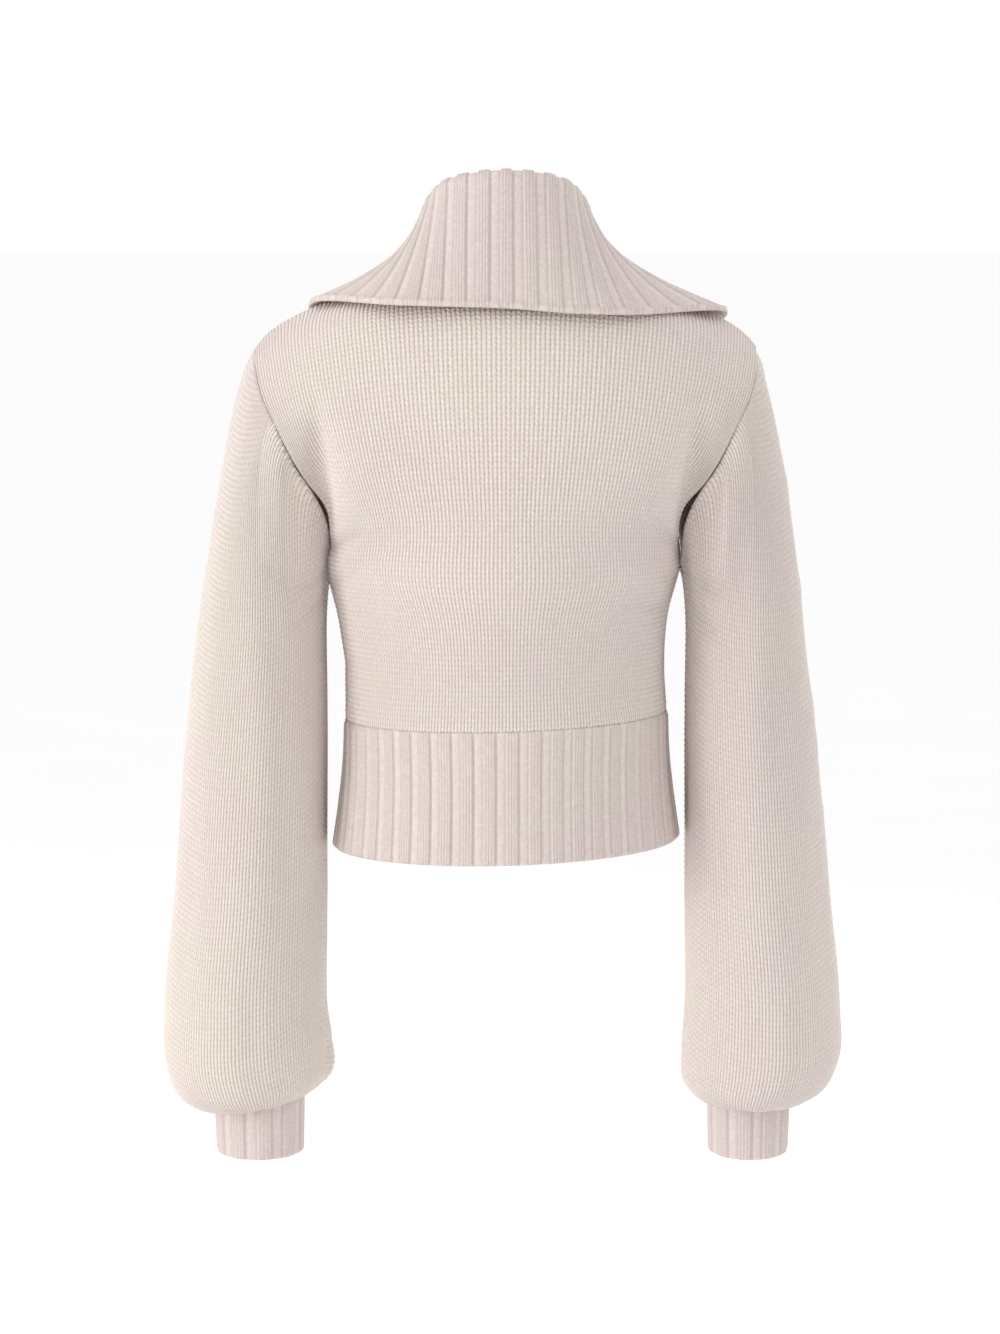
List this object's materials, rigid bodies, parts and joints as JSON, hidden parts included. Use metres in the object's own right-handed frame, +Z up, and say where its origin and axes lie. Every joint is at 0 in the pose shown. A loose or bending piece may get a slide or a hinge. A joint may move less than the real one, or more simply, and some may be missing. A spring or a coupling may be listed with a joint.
{
  "type": "ribbed cardigan",
  "caption": "Cropped chunky-knit cardigan, worn and hollow, with a wide ribbed collar folded outward, balloon sleeves, ribbed cuffs and a flared ribbed hem.",
  "frame": {"origin": "midway between the two neck points of the shoulder seams, where the garment hangs on the wearer's shoulders", "axes": "+Z up along the wearer's spine, -Y out of the buttoned front, +Y out of the back, +X towards the wearer's left sleeve"},
  "size_m": [0.5035, 0.2351, 0.7307],
  "materials": {
    "plain_knit": "soft matte stockinette in a thick two-ply cream yarn with a faint pink tint",
    "rib_knit": "soft matte rib knit in the same cream yarn",
    "button": "satin cream, turned, with a soft rim"
  },
  "bodies": {
    "root": {"back_panel": "plain_knit", "left_front": "plain_knit", "right_front": "plain_knit", "left_sleeve_back": "plain_knit", "left_sleeve_front": "plain_knit", "right_sleeve_back": "plain_knit", "right_sleeve_front": "plain_knit", "left_cuff": "rib_knit", "right_cuff": "rib_knit", "back_hem_rib": "rib_knit", "left_front_hem_rib": "rib_knit", "right_front_hem_rib": "rib_knit", "collar": "rib_knit", "left_button_band": "rib_knit", "right_button_band": "rib_knit", "button_1": "button", "button_2": "button", "button_3": "button", "button_4": "button", "button_5": "button", "button_6": "button"}
  },
  "joints": []
}
